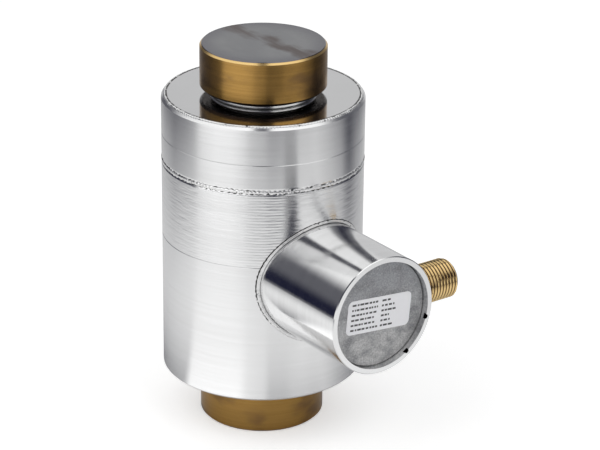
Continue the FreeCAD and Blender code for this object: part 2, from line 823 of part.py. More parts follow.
def signal_lead():
    """The ribbon from the ring board down and out to the trim board."""
    out = -value(cell.lead_distance)
    level = value(TUBE_HEIGHT)
    points = [
        FreeCAD.Vector(0, out, value(RING_BASE)),
        FreeCAD.Vector(0, out, level),
        FreeCAD.Vector(0, -value(BOARD_REAR), level),
    ]
    ribbon("signal_lead", points, value(cell.lead_bend), value(cell.lead_width),
           value(cell.lead_thickness))


def connector_lead():
    """The ribbon from the connector's pins round to the trim board."""
    level = value(TUBE_HEIGHT)
    distance = -value(CONNECTOR_PLACE)
    side = value(cell.cable_side)
    points = [
        FreeCAD.Vector(value(PIN_REAR), distance, level),
        FreeCAD.Vector(side, distance, level),
        FreeCAD.Vector(side, -value(BOARD_FRONT), level),
    ]
    ribbon("connector_lead", points, value(cell.cable_bend), value(cell.lead_width),
           value(cell.lead_thickness))


# ---------------------------------------------------------------- the whole cell

load_column()
end_piece("foot", FOOT_TOP)
button = end_piece("load_button", f"({cell.total_height} - {BUTTON_BASE})")
put(button, up=cell.total_height, axis=(1, 0, 0), angle=180)
housing_sleeve()
middle_ring()
upper_ring()
put(end_plate("bottom_plate"), up=cell.housing_base)
put(end_plate("top_plate"), up=HOUSING_TOP, axis=(1, 0, 0), angle=180)
side_tube()
tube_collar()
end_cover()
cover_seal()
label_plate()
trim_board()
for number, (across, up) in enumerate(pillar_places(), start=1):
    board_pillar(number, across, up)
    board_screw(number, across, up)
for number in range(1, RESISTORS + 1):
    trim_resistor(number)
connector_shell()
connector_insert()
for number, (across, up) in enumerate(pin_places(), start=1):
    connector_pin(number, across, up)
gauge_count = int(value(cell.gauge_count))
for number in range(1, gauge_count + 1):
    gauge_angle = (number - 1) * 360 / gauge_count
    strain_gauge(number, gauge_angle)
    gauge_wire(number, gauge_angle)
terminal_ring()
signal_lead()
connector_lead()
doc.recompute()

failed = [item.Name for item in doc.Objects if {"Invalid", "Error"} & set(item.State)]
if failed:
    raise RuntimeError("objects that failed: " + ", ".join(failed))
os.makedirs("parts", exist_ok=True)
for piece in PIECES:
    shape = piece.Shape
    if shape.isNull() or not shape.isValid():
        raise RuntimeError(piece.Label + " has no valid shape")
    shape.exportStep(f"parts/{piece.Label}.step")
    print(piece.Label, "solids", len(shape.Solids), "volume", round(shape.Volume, 1))
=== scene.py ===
import math

import bpy
import numpy as np
from mathutils import Matrix, Vector


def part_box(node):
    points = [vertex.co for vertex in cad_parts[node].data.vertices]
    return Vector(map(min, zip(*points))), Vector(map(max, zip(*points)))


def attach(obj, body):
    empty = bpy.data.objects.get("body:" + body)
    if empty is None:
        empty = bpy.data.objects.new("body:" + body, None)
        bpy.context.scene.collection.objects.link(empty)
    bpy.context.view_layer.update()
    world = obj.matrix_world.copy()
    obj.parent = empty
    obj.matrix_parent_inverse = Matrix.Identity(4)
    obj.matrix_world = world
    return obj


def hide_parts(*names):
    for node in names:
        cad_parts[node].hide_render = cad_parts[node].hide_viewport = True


# Column load cell: finishes, the connector's thread, the welds and the label, in metres.
# The load axis is +Z, the side tube points along -Y and the connector along +X.

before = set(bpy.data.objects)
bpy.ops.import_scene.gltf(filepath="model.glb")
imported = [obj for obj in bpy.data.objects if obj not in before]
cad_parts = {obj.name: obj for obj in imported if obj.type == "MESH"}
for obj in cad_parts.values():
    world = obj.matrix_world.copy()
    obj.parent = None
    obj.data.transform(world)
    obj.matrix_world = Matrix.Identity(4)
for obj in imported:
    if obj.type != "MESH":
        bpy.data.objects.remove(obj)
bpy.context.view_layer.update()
MM = 0.001
FULL_TURN = 2 * math.pi


# ---------------------------------------------------------------- places on the part

SLEEVE_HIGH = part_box("housing_sleeve")[1]
RIM_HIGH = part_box("upper_ring")[1]
TUBE_LOW, TUBE_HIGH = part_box("side_tube")
LABEL_LOW, LABEL_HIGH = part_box("label")
BARREL_LOW, BARREL_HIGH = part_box("connector_shell")
BUTTON_LOW, BUTTON_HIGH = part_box("load_button")
FOOT_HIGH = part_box("foot")[1]

BODY_R = SLEEVE_HIGH.x
END_R = FOOT_HIGH.x
TUBE_R = TUBE_HIGH.x
TUBE_Z = (TUBE_LOW.z + TUBE_HIGH.z) / 2
BARREL_Y = (BARREL_LOW.y + BARREL_HIGH.y) / 2
BARREL_R = BARREL_HIGH.z - TUBE_Z

# The middle height of the wide seam, and the heights between which the tool marks are coarse.
SEAM_Z = SLEEVE_HIGH.z - 3.8 * MM
COARSE_BAND = (75.2 * MM, SLEEVE_HIGH.z - 5.2 * MM)
# The two notches in the tube's end: their bearings in degrees from +X, half of the angle that
# each takes up, in radians, and their depth.
NOTCHES = (-15.5, -56.5)
NOTCH_HALF = 0.05
NOTCH_DEPTH = 1.2 * MM
# The way the sharpest tool marks face, seen from above.
SHARP_SIDE = (-0.72, -0.694)
# How much the finest turned lines stand out.
FINE_RELIEF = 0.004 * MM


# ---------------------------------------------------------------- node helpers

class Nodes:
    """A node tree, with short calls that add nodes and link them."""

    def __init__(self, tree):
        self.tree = tree

    def add(self, kind, settings=None, **inputs):
        """A node with its settings and its inputs.

        An input is a number, a colour or another node's output, and its word is the socket's
        name, or _ and the socket's number.
        """
        made = self.tree.nodes.new(kind)
        for word, setting in (settings or {}).items():
            setattr(made, word, setting)
        for word, source in inputs.items():
            key = int(word[1:]) if word[0] == "_" else word.replace("_", " ")
            self.feed(made.inputs[key], source)
        return made

    def feed(self, socket, source):
        """Link an output to the socket, or set the socket's own value."""
        if isinstance(source, bpy.types.NodeSocket):
            self.tree.links.new(source, socket)
        else:
            socket.default_value = source

    def calc(self, operation, first, second=0.0):
        """The result of one arithmetic step."""
        made = self.add("ShaderNodeMath", {"operation": operation}, _0=first, _1=second)
        return made.outputs[0]

    def plus(self, first, second):
        """first + second."""
        return self.calc("ADD", first, second)

    def minus(self, first, second):
        """first - second."""
        return self.calc("SUBTRACT", first, second)

    def times(self, first, *others):
        """All the factors multiplied together."""
        for other in others:
            first = self.calc("MULTIPLY", first, other)
        return first

    def size(self, value):
        """The value without its sign."""
        return self.calc("ABSOLUTE", value)

    def distance(self, across, along):
        """The root of across^2 + along^2."""
        return self.calc("SQRT", self.plus(self.times(across, across), self.times(along, along)))

    def step(self, value, low, high):
        """Rises smoothly from 0 at low to 1 at high."""
        made = self.add("ShaderNodeMapRange", {"interpolation_type": "SMOOTHSTEP"}, _0=value,
                        _1=low, _2=high)
        return made.outputs[0]

    def span(self, value, low, high, soft):
        """1 between low and high, and 0 outside, with soft edges."""
        return self.times(self.step(value, low - soft, low + soft),
                          self.step(value, high + soft, high - soft))

    def between(self, share, low, high):
        """A number between low and high."""
        return self.add("ShaderNodeMapRange", _0=share, _3=low, _4=high).outputs[0]

    def mix(self, share, first, second):
        """A colour between two colours."""
        made = self.add("ShaderNodeMix", {"data_type": "RGBA"}, _0=share, _6=first, _7=second)
        return made.outputs[2]

    def mix_number(self, share, first, second):
        """A number between two numbers, each of which may be another node's output."""
        made = self.add("ShaderNodeMix", {"data_type": "FLOAT"}, _0=share, _2=first, _3=second)
        return made.outputs[0]

    def ramp(self, share, stops):
        """A grey that follows stops of (azimuth in degrees, level), for a share of a turn.

        A level can pass 1, and a dark one is a little blue.
        """
        made = self.add("ShaderNodeValToRGB", Fac=share)
        elements = made.color_ramp.elements
        while len(elements) < len(stops):
            elements.new(0.5)
        for element, (azimuth, level) in zip(elements, stops):
            element.position = (azimuth + 180) / 360
            element.color = grey(level, (0.0, 0.001, 0.02 * max(0.0, 1 - level)))
        return made.outputs[0]


class Finish(Nodes):
    """One node material, on the piece's own coordinates."""

    def __init__(self, name):
        self.material = bpy.data.materials.new(name)
        self.material.use_nodes = True
        super().__init__(self.material.node_tree)
        self.shader = self.tree.nodes["Principled BSDF"]
        self.place = self.add("ShaderNodeTexCoord").outputs["Object"]
        split = self.add("ShaderNodeSeparateXYZ", Vector=self.place)
        self.x, self.y, self.z = (split.outputs[word] for word in "XYZ")

    def noise(self, stretch, detail=2.0, roughness=0.5):
        """Noise between 0 and 1, with each axis multiplied by its stretch, in cells a metre."""
        scaled = self.add("ShaderNodeMapping", Vector=self.place, Scale=stretch)
        made = self.add("ShaderNodeTexNoise", Vector=scaled.outputs[0], Scale=1.0,
                        Detail=detail, Roughness=roughness)
        return made.outputs[0]

    def bump(self, height, distance, below=None):
        """Relief from a height field, laid over an earlier relief if one is given."""
        made = self.add("ShaderNodeBump", Height=height, Distance=distance, Strength=1.0)
        if below is not None:
            self.feed(made.inputs["Normal"], below)
        return made.outputs[0]

    def tangent(self, axis):
        """The direction round an axis, along which a turned surface's lines run."""
        made = self.add("ShaderNodeTangent", {"direction_type": "RADIAL", "axis": axis})
        self.set(Tangent=made.outputs[0], Anisotropic_Rotation=0.25)

    def set(self, **inputs):
        """Inputs of the shader: Base_Color, Metallic, Roughness and so on."""
        for word, source in inputs.items():
            self.feed(self.shader.inputs[word.replace("_", " ")], source)


def grey(level, tint=(0.0, 0.0, 0.0)):
    """A linear colour near grey."""
    return (level + tint[0], level + tint[1], level + tint[2], 1.0)


def dress(finish, *nodes):
    """Give CAD nodes one finish."""
    for name in nodes:
        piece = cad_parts[name]
        piece.data.materials.clear()
        piece.data.materials.append(finish.material)


# ---------------------------------------------------------------- finishes of the housing

def turned_steel(name, axis, rough):
    """Bright steel with the fine rings that a lathe tool leaves round an axis.

    Gives the finish, the field of its rings, and its colour.
    """
    finish = Finish(name)
    along = "XYZ".index(axis)
    fine = [0.0, 0.0, 0.0]
    fine[along] = 5200.0
    coarse = [18.0, 18.0, 18.0]
    coarse[along] = 700.0
    lines = finish.noise(fine, 1.0)
    bands = finish.noise(coarse)
    steel = 0.85
    shade = finish.mix(bands, grey(steel * 0.93), grey(steel * 1.05, (0.0, 0.002, 0.006)))
    finish.set(Base_Color=shade, Metallic=1.0, Anisotropic=0.8,
               Roughness=finish.between(bands, rough - 0.04, rough + 0.04))
    finish.tangent(axis)
    return finish, lines, shade


def housing_finish(name, band=None):
    """Turned steel for the housing, with coarser tool marks between a band's two heights.

    The marks are ridges of sin(2 pi height / pitch + wander) with patches over them, and the
    ridges are five times deeper on the sharp side than elsewhere.
    """
    finish, lines, _ = turned_steel(name, "Z", 0.20)
    relief = finish.bump(lines, FINE_RELIEF)
    if band is not None:
        pitch = 1.12 * MM
        inside = finish.span(finish.z, *band, 0.3 * MM)
        wander = finish.times(finish.noise((30.0, 30.0, 60.0)), 7.0)
        phase = finish.plus(finish.times(finish.z, FULL_TURN / pitch), wander)
        ahead = finish.plus(finish.times(finish.x, SHARP_SIDE[0] / BODY_R),
                            finish.times(finish.y, SHARP_SIDE[1] / BODY_R))
        depth = finish.between(finish.step(ahead, 0.86, 0.95), 0.2, 1.0)
        ridges = finish.times(finish.calc("SINE", phase), finish.times(inside, depth))
        patches = finish.times(finish.noise((120.0, 120.0, 700.0), 3.0), inside)
        relief = finish.bump(ridges, 0.011 * MM, relief)
        relief = finish.bump(patches, 0.11 * MM, relief)
    finish.set(Normal=relief)
    return finish


def tube_finish(name):
    """Turned steel for the side tube, with painted shade in the two notches of its end."""
    finish, lines, shade = turned_steel(name, "Y", 0.10)
    blur = 0.1 * NOTCH_HALF
    soft = 0.05 * MM
    front = TUBE_LOW.y + 2 * soft
    bearing = finish.calc("ARCTAN2", finish.minus(finish.z, TUBE_Z), finish.x)
    aside = finish.calc("MINIMUM", *[finish.size(finish.minus(bearing, math.radians(place)))
                                     for place in NOTCHES])
    # painted shade: the two notches in the tube's end are coloured near black
    notch_shade = finish.times(finish.step(aside, NOTCH_HALF + blur, NOTCH_HALF - blur),
                        finish.span(finish.y, front, front + NOTCH_DEPTH, soft))
    finish.set(Base_Color=finish.mix(notch_shade, shade, grey(0.02)),
               Normal=finish.bump(lines, 0.003 * MM))
    return finish


def polished_finish(name):
    """Polished steel with only a trace of turning, and painted shade on the lip above the plate's
    face.
    """
    finish = Finish(name)
    trace = finish.noise((40.0, 40.0, 40.0))
    # painted shade: near black above the plate's face, in the narrow gap under the button
    lip = finish.step(finish.z, RIM_HIGH.z + 0.1 * MM, RIM_HIGH.z + 0.2 * MM)
    shade = finish.mix(lip, finish.mix(trace, grey(0.73), grey(0.80)), grey(0.05))
    finish.set(Base_Color=shade, Metallic=1.0,
               Anisotropic=0.3, Roughness=finish.between(trace, 0.07, 0.12))
    finish.tangent("Z")
    return finish


# ---------------------------------------------------------------- finishes of the two ends

BRONZE_DARK = (0.28, 0.155, 0.04, 1)
BRONZE_LIGHT = (0.56, 0.33, 0.10, 1)
BRONZE_STAIN = (0.17, 0.10, 0.055, 1)
BRONZE_EDGE_HIGHLIGHT = (0.80, 0.56, 0.24, 1)
INNER_EDGE_DARK = (0.030, 0.018, 0.012, 1)
VEIL_DARK = (0.15, 0.155, 0.17, 1)
VEIL_LIGHT = (0.33, 0.33, 0.33, 1)
VEIL_BORDER = (0.12, 0.115, 0.14, 1)
STREAK = (0.085, 0.060, 0.055, 1)


def bronzed_side(finish, rings, face_z, inner_z):
    """Bronze in rings, with stains, a golden painted highlight by the face and a dark inner edge.
    """
    cloud = finish.noise((45.0, 45.0, 90.0), 3.0)
    stain = finish.times(finish.step(cloud, 0.46, 0.66), 0.7)
    # painted highlight: the band just below the face is coloured bright gold
    edge = finish.span(finish.z, face_z - 0.9 * MM, face_z - 0.2 * MM, 0.15 * MM)
    inner_dark = finish.step(finish.size(finish.minus(finish.z, inner_z)), 1.25 * MM, 0.75 * MM)
    side = finish.mix(rings, BRONZE_DARK, BRONZE_LIGHT)
    side = finish.mix(stain, side, BRONZE_STAIN)
    side = finish.mix(edge, side, BRONZE_EDGE_HIGHLIGHT)
    return finish.mix(inner_dark, side, INNER_EDGE_DARK)


def bronzed_face(finish):
    """A clouded grey face with a darker border, and a brown streak slanting across it.

    The streak follows |x + slope (y - R) + wander|, and fine grain breaks it up.
    """
    cloud = finish.noise((60.0, 35.0, 1.0), 4.0, 0.6)
    grain = finish.noise((300.0, 40.0, 1.0), 4.0, 0.65)
    slant = finish.times(finish.minus(finish.y, END_R), 0.116)
    wander = finish.times(finish.minus(finish.noise((60.0, 90.0, 1.0), 3.0), 0.5), 16 * MM)
    aside = finish.size(finish.plus(finish.plus(finish.x, slant), wander))
    streak = finish.times(finish.step(aside, 6.0 * MM, 1.0 * MM),
                          finish.step(grain, 0.30, 0.62))
    radius = finish.distance(finish.x, finish.y)
    border = finish.times(finish.step(radius, 0.62 * END_R, 0.99 * END_R), 0.65)
    veil = finish.mix(cloud, VEIL_DARK, VEIL_LIGHT)
    veil = finish.mix(border, veil, VEIL_BORDER)
    return finish.mix(streak, veil, STREAK)


def bronzed_finish(name, face_z, inner_z):
    """Steel coloured by tempering, with a working face at one height and an inner edge."""
    finish = Finish(name)
    rings = finish.noise((8.0, 8.0, 900.0), 3.0, 0.6)
    on_face = finish.step(finish.z, face_z - 0.3 * MM, face_z - 0.1 * MM)
    side = bronzed_side(finish, rings, face_z, inner_z)
    finish.set(Base_Color=finish.mix(on_face, side, bronzed_face(finish)), Metallic=1.0,
               Anisotropic=finish.between(on_face, 0.7, 0.3),
               Roughness=finish.mix_number(on_face, finish.between(rings, 0.20, 0.28), 0.2),
               Normal=finish.bump(rings, 0.01 * MM))
    finish.tangent("Z")
    return finish


# ---------------------------------------------------------------- finishes of the welds

def weld_finish(name, edge=None, frost=0.0):
    """Bright weld metal with a few dark specks, and a ragged dark line on its edge.

    edge(finish) gives the dark line's share from the place on the piece; on the rim and collar
    welds this line is painted shade. frost is the share of the metal that is matt and white.
    """
    finish = Finish(name)
    ripples = finish.noise((260.0, 260.0, 260.0), 3.0)
    specks = finish.noise((700.0, 700.0, 1000.0), 2.0, 0.6)
    colour = finish.mix(ripples, grey(0.72), grey(0.97))
    if edge is not None:
        reach = finish.plus(specks, finish.times(edge(finish), 0.19))
        # a near-black line where the edge's share is high; on the rim and collar welds it is
        # painted shade
        colour = finish.mix(finish.step(reach, 0.64, 0.70), colour, grey(0.03))
    finish.set(Base_Color=colour, Metallic=1.0 - frost,
               Roughness=finish.between(ripples, 0.10, 0.24))
    return finish


def seam_edge(finish):
    """The lower edge of the seam's weld, and the upper edge more faintly."""
    up = finish.minus(finish.z, SEAM_Z)
    upper = finish.times(finish.step(up, 0.35 * MM, 0.65 * MM), 0.7)
    return finish.calc("MAXIMUM", finish.step(up, -0.30 * MM, -0.60 * MM), upper)


def rim_inner_shade(finish):
    """Painted shade on the inner edge of the rim's weld, for the shade of its ragged steps."""
    radius = finish.distance(finish.x, finish.y)
    return finish.times(finish.step(radius, 36.85 * MM, 36.45 * MM), 1.6)


def collar_gap_shade(finish):
    """Painted shade of the gap by the collar weld's outer edge, over the upper left of the side
    tube.
    """
    above = finish.minus(finish.z, TUBE_Z)
    upper_left = finish.minus(finish.times(above, 0.8), finish.times(finish.x, 0.6))
    outer = finish.step(finish.distance(finish.x, above), TUBE_R + 1.25 * MM, TUBE_R + 1.4 * MM)
    return finish.times(outer, 1.8, finish.step(upper_left, -3 * MM, 9 * MM))


# ---------------------------------------------------------------- other finishes

BRASS_DARK = (0.70, 0.48, 0.20, 1)
BRASS_LIGHT = (0.93, 0.71, 0.37, 1)
BRASS_GROOVE_SHADE = (0.15, 0.08, 0.03, 1)


def blasted_finish(name):
    """Grey metal dulled by blasting: fine pits, clouds, and a painted reflection paler lower
    down.
    """
    finish = Finish(name)
    pits = finish.noise((1500.0, 1500.0, 1500.0), 2.0, 0.7)
    cloud = finish.noise((130.0, 130.0, 190.0), 4.0, 0.6)
    # painted reflection: darker and bluish at the top, paler and warmer at the bottom
    low = finish.step(finish.z, TUBE_Z + 18 * MM, TUBE_Z - 18 * MM)
    pitted = finish.between(finish.step(pits, 0.68, 0.32), 0.0, 0.45)
    shade = finish.mix(low, grey(0.42, (0.0, 0.008, 0.03)), grey(0.66, (0.008, 0.004, 0.0)))
    shade = finish.mix(finish.step(cloud, 0.60, 0.30), shade, grey(0.32, (0.0, 0.003, 0.012)))
    shade = finish.mix(pitted, shade, grey(0.12, (0.0, 0.002, 0.012)))
    shade = finish.mix(finish.step(pits, 0.60, 0.76), shade, grey(0.62))
    finish.set(Base_Color=shade, Metallic=0.75, Roughness=finish.between(pits, 0.42, 0.6),
               Normal=finish.bump(pits, 0.05 * MM))
    return finish


def brass_finish(name):
    """Bright turned brass, with painted shade in the bottom of the thread."""
    finish = Finish(name)
    rings = finish.noise((900.0, 12.0, 12.0))
    radius = finish.distance(finish.minus(finish.y, BARREL_Y), finish.minus(finish.z, TUBE_Z))
    # painted shade: the bottom of the thread is coloured dark brown
    groove = finish.step(radius, BARREL_R - 0.24 * MM, BARREL_R - 0.48 * MM)
    shade = finish.mix(rings, BRASS_DARK, BRASS_LIGHT)
    finish.set(Base_Color=finish.mix(groove, shade, BRASS_GROOVE_SHADE), Metallic=1.0,
               Roughness=finish.between(rings, 0.10, 0.16),
               Normal=finish.bump(rings, 0.002 * MM))
    return finish


def clouded_finish(name, colour, cells, shadow, rough, metallic):
    """One colour with faint clouds in it.

    The clouds have so many cells a metre. They are the shadow's share of the colour, and go
    with the first of two roughnesses.
    """
    finish = Finish(name)
    cloud = finish.noise((cells, cells, cells))
    dark = tuple(shadow * part for part in colour[:3]) + (1.0,)
    finish.set(Base_Color=finish.mix(cloud, dark, colour), Metallic=metallic,
               Roughness=finish.between(cloud, *rough))
    return finish


def film_finish(name, colour, roughness):
    """A smooth film or moulding with faint unevenness."""
    return clouded_finish(name, colour, cells=300.0, shadow=0.93,
                          rough=(roughness - 0.05, roughness + 0.05), metallic=0.0)


def plain_metal(name, colour, roughness):
    """A small turned or plated metal part."""
    return clouded_finish(name, colour, cells=500.0, shadow=0.85,
                          rough=(roughness, roughness + 0.1), metallic=1.0)


# ---------------------------------------------------------------- surfaces from arrays

def surface(name, points, closed_u=True, closed_v=False):
    """A mesh of quads over a grid of points with shape (rows, columns, 3).

    Rows wrap round when closed_v is set, and columns when closed_u is set.
    """
    rows, columns = points.shape[:2]
    index = np.arange(rows * columns).reshape(rows, columns)
    right = np.roll(index, -1, axis=1)
    up = np.roll(index, -1, axis=0)
    both = np.roll(right, -1, axis=0)
    last_row = rows if closed_v else rows - 1
    last_column = columns if closed_u else columns - 1
    quads = np.stack([index, right, both, up], axis=-1)[:last_row, :last_column]
    mesh = bpy.data.meshes.new(name)
    mesh.from_pydata(points.reshape(-1, 3).tolist(), [], quads.reshape(-1, 4).tolist())
    mesh.polygons.foreach_set("use_smooth", np.ones(len(mesh.polygons), bool))
    mesh.update()
    return placed(name, mesh)


def placed(name, data):
    """An object in the scene that holds a mesh, a lamp or a camera."""
    piece = bpy.data.objects.new(name, data)
    bpy.context.scene.collection.objects.link(piece)
    return piece


def around(count):
    """Angles at equal steps round one turn."""
    return np.linspace(0, FULL_TURN, count, endpoint=False)


def lathe(name, path, angle, outward=0.0, upward=0.0, closed_v=True):
    """A ring: a path of (radius, height) turned about the load axis from -Y towards +X.

    outward and upward are added to the radius and height, over the path's points and the
    angles. The path is a closed one unless closed_v is cleared.
    """
    path = np.array(path)
    radius = path[:, :1] + outward + np.zeros_like(angle)
    height = path[:, 1:] + upward + np.zeros_like(angle)
    points = np.stack([radius * np.sin(angle), -radius * np.cos(angle), height], axis=-1)
    return surface(name, points, closed_v=closed_v)


def chatter(angle, crests, seed):
    """Uneven ripples round a ring, between -1 and 1, whose size and place drift.

    drift is a sum of sines of 1 to 23 waves a turn, with size and start drawn at random. The
    ripples are (0.6 + 0.4 sin(17 a + 3 drift)) sin(crests a + 1.5 drift), and a faster sine
    takes up to 0.4 of their size.
    """
    random = np.random.default_rng(seed)
    drift = sum(random.uniform(0.2, 1.0) / k * np.sin(k * angle + random.uniform(0, 6.28))
                for k in range(1, 24))
    size = 0.6 + 0.4 * np.sin(17 * angle + 3 * drift)
    fast = 0.8 + 0.2 * np.sin(5.3 * crests * angle)
    return size * np.sin(crests * angle + 1.5 * drift) * fast


# ---------------------------------------------------------------- the connector's thread

def threaded_barrel():
    """The connector's barrel with its thread.

    A closed profile of (reach along +X, radius) is turned about the connector's axis. On the
    threaded stretch the radius falls by depth * clip(1.25 w - 0.12, 0, 1), where w is a
    triangle wave of reach / pitch - angle / full turn. The groove fades in over the first
    pitch, and out down the chamfer at the front.
    """
    pitch = 1.41 * MM
    depth = 0.55 * MM
    chamfer = 1.3 * MM
    front = BARREL_HIGH.x
    back = BARREL_LOW.x
    thread_from = TUBE_R + 0.3 * MM
    root_r = 7.1 * MM
    socket_r = 5.8 * MM
    bore_r = 4.8 * MM
    socket_floor = front - 13.1 * MM
    corners = np.array([
        (back, bore_r), (back, root_r), (thread_from, root_r), (thread_from, BARREL_R),
        (front - chamfer, BARREL_R), (front, BARREL_R - chamfer), (front, socket_r),
        (socket_floor, socket_r), (socket_floor, bore_r),
    ])
    rows = (1, 8, 1, 170, 6, 2, 6, 1, 6)    # from each corner to the next
    path = [start + (stop - start) * np.linspace(0, 1, count, endpoint=False)[:, None]
            for start, stop, count in zip(corners, np.roll(corners, -1, axis=0), rows)]
    reach, radius = np.vstack(path).T
    angle = around(96)
    x = np.repeat(reach[:, None], len(angle), axis=1)
    r = np.repeat(radius[:, None], len(angle), axis=1)
    turn = x / pitch - angle / FULL_TURN
    wave = np.abs(2 * (turn - np.floor(turn)) - 1)
    groove = np.clip(1.25 * wave - 0.12, 0, 1)
    outside = (r > root_r + 0.1 * MM) & (x >= thread_from - 1e-9)
    fade_in = np.clip((x - thread_from) / pitch, 0, 1)
    fade_out = np.clip((r - (BARREL_R - chamfer)) / chamfer, 0, 1)
    r = r - depth * groove * fade_in * fade_out * outside
    points = np.stack([x, BARREL_Y + r * np.sin(angle), TUBE_Z + r * np.cos(angle)], axis=-1)
    return surface("threaded_barrel", points, closed_v=True)


# ---------------------------------------------------------------- the welds

def seam_weld():
    """The weld over the wide seam: a low band with ragged edges and a rippled face.

    With t from -1 to 1 across the band, the radius is R - sink + crown (1 - t^2) and the
    height is half * t from the seam's middle. Ripples lift the face by up to 0.06 (1 - t^2) mm
    and move the edges by up to 0.42 |t|^1.5 mm. Two more points close the section in the
    groove.
    """
    crown = 0.16 * MM
    sink = 0.06 * MM
    half = 0.85 * MM
    across = np.linspace(-1, 1, 9)
    front = np.stack([BODY_R - sink + crown * (1 - across ** 2), SEAM_Z + half * across], axis=-1)
    back = [(BODY_R - 0.30 * MM, SEAM_Z + 0.6 * MM), (BODY_R - 0.30 * MM, SEAM_Z - 0.6 * MM)]
    t = np.append(across, [0, 0])[:, None]
    on_face = np.append(np.ones(9), [0, 0])[:, None]
    angle = around(3000)
    ragged = np.where(t > 0, chatter(angle, 120, 5), chatter(angle, 105, 6))
    outward = 0.06 * MM * chatter(angle, 170, 3) * (1 - t ** 2) * on_face
    upward = 0.42 * MM * ragged * np.sign(t) * np.abs(t) ** 1.5
    return lathe("seam_weld", np.vstack([front, back]), angle, outward, upward)


def rim_weld():
    """The weld between the top plate and the rim: a low flat band with scalloped edges.

    The path goes over the band from its outer edge on the chamfer to its inner edge, and t
    goes from -1 to 1 along it. Ripples move the two edges by up to 0.28 t^2 mm, and lift the
    face between them by up to 0.06 mm.
    """
    path = MM * np.array([(37.42, -0.75), (37.40, -0.42), (37.18, -0.02), (36.95, 0.05),
                          (36.6, 0.06), (36.25, 0.06), (36.08, 0.05), (35.98, -0.10)])
    t = np.linspace(-1, 1, len(path))[:, None]
    angle = around(3000)
    ragged = np.where(t > 0, chatter(angle, 240, 9), chatter(angle, 200, 11))
    outward = 0.28 * MM * ragged * t ** 2 * np.sign(t)
    upward = 0.06 * MM * chatter(angle, 170, 12) * (np.abs(t) < 0.8)
    return lathe("rim_weld", path, angle, outward, RIM_HIGH.z + upward)


def lip_weld():
    """The bright rounded weld that closes the top plate's lip on the column's neck.

    Its section is the path below, in radius and height over the plate.
    """
    path = MM * np.array([(17.9, 0.1), (19.6, 0.1), (19.88, 0.50), (19.98, 0.72),
                          (19.79, 1.42), (19.66, 1.52), (19.45, 1.56), (19.0, 1.52),
                          (18.4, 1.30), (17.9, 0.95)])
    return lathe("lip_weld", path, around(240), upward=RIM_HIGH.z)


def collar_weld():
    """The raised bead where the side tube's collar is welded into the housing.

    With t from -1 to 1 across the bead, a point lies at middle + half * t from the tube's
    axis, and stands crown (1 - t^4) - sink over the housing's cylinder. Ripples move the outer
    edge by up to 0.16 t^2 mm and change the crown by up to a fifth. Two more points close the
    section under the surface.
    """
    inner = TUBE_R + 0.12 * MM
    outer = TUBE_R + 1.6 * MM
    crown = 0.30 * MM
    sink = 0.04 * MM
    across = np.linspace(-1, 1, 11)
    angle = around(1200)
    front = np.stack([across, crown * (1 - across ** 4) - sink], axis=-1)
    back = np.array([(0.8, -0.35 * MM), (-0.8, -0.35 * MM)])
    path = np.vstack([front, back])
    t = path[:, :1]
    wander = 0.16 * MM * chatter(angle, 75, 21) * (t > 0) * t ** 2
    distance = (inner + outer) / 2 + (outer - inner) / 2 * t + wander
    stand = path[:, 1:] * (1 + 0.2 * chatter(angle, 60, 22))
    x = distance * np.cos(angle)
    z = distance * np.sin(angle)
    y = -np.sqrt(BODY_R ** 2 - x ** 2)
    out = (BODY_R + stand) / BODY_R
    return surface("collar_weld", np.stack([x * out, y * out, TUBE_Z + z], axis=-1),
                   closed_v=True)


# ---------------------------------------------------------------- the label

def label_print():
    """Generic printed rules on the label, as flat bars with no lettering.

    Each bar is a rectangle just in front of the label. A point (u, v) in the label's own frame
    is put at x = cx + u cos(turn) + v sin(turn) and z = cz - u sin(turn) + v cos(turn). Bars
    follow one another along each row, with lengths and gaps drawn at random.
    """
    turn = math.radians(5.5)
    rows = 6
    row_pitch = 1.95 * MM
    bar_high = 0.72 * MM
    half_wide = 12.6 * MM
    columns = ((-1.0, -0.02), (0.08, 0.52))
    face = LABEL_LOW.y - 0.02 * MM
    centre = (LABEL_LOW + LABEL_HIGH) / 2
    random = np.random.default_rng(7)
    corners = []
    for row in range(rows):
        up = ((rows - 1) / 2 - row) * row_pitch
        for start, end in columns:
            at = start * half_wide
            stop = end * half_wide - random.uniform(0, 0.2) * half_wide
            while at < stop:
                length = random.uniform(0.5, 1.9) * MM
                for across, rise in ((0, -1), (1, -1), (1, 1), (0, 1)):
                    u = at + across * length
                    v = up + rise * bar_high / 2
                    corners.append((centre.x + u * math.cos(turn) + v * math.sin(turn), face,
                                    centre.z - u * math.sin(turn) + v * math.cos(turn)))
                at += length + random.uniform(0.3, 0.6) * MM
    mesh = bpy.data.meshes.new("label_rules")
    mesh.from_pydata(corners, [], np.arange(len(corners)).reshape(-1, 4).tolist())
    return placed("label_rules", mesh)


# ---------------------------------------------------------------- the pieces' finishes

def numbered(stem, count):
    """Names that end in _1, _2 and so on."""
    return [f"{stem}_{n}" for n in range(1, count + 1)]


dress(housing_finish("sleeve_steel", COARSE_BAND), "housing_sleeve")
dress(housing_finish("ring_steel"), "middle_ring")
dress(housing_finish("rim_steel"), "upper_ring")
dress(tube_finish("tube_steel"), "side_tube")
dress(polished_finish("plate_steel"), "bottom_plate", "top_plate", "tube_collar")
dress(bronzed_finish("button_steel", BUTTON_HIGH.z, BUTTON_LOW.z), "load_button")
dress(bronzed_finish("foot_steel", BUTTON_HIGH.z, FOOT_HIGH.z), "foot")
dress(blasted_finish("blasted_cover"), "end_cover")

